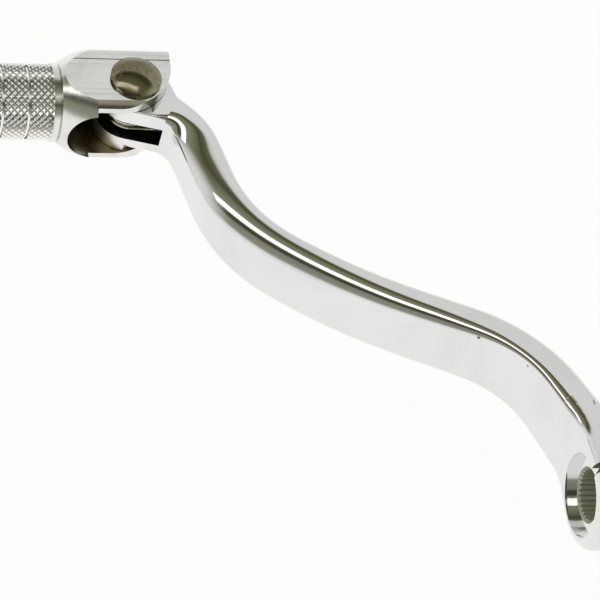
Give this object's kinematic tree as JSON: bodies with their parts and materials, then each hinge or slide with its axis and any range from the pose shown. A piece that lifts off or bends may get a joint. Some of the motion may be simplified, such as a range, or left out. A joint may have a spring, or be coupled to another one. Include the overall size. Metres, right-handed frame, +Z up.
{
  "type": "motorcycle gear shift lever",
  "caption": "Polished S-shaped gear shift lever with a serrated clamp boss and a knurled toe peg that folds back on a riveted, sprung pivot.",
  "frame": {"origin": "on the axis of the serrated bore, at the middle of the clamp boss", "axes": "+X forward from the gearbox shaft towards the toe peg, +Y outboard along the bore and the peg, +Z up along the pivot rivet"},
  "size_m": [0.1219, 0.1438, 0.0267],
  "materials": {
    "polished_alloy": "polished forging",
    "turned_alloy": "turned, milled and knurled",
    "rivet_steel": "dull with fine pits",
    "spring_steel": "bright drawn wire",
    "bolt_steel": "plated"
  },
  "bodies": {
    "lever": {"lever_arm": "polished_alloy", "return_spring": "spring_steel", "pinch_bolt": "bolt_steel"},
    "peg": {"toe_peg": "turned_alloy", "pivot_rivet": "rivet_steel"}
  },
  "joints": [
    {"name": "peg_fold", "type": "hinge", "parent": "lever", "child": "peg", "pos_m": [0.0964, 0.0867, 0], "axis": [0, 0, 1], "range_deg": [0, 85], "stiffness_Nm_per_rad": 0.12, "springref_deg": -45.84, "deforming": ["return_spring"]}
  ]
}
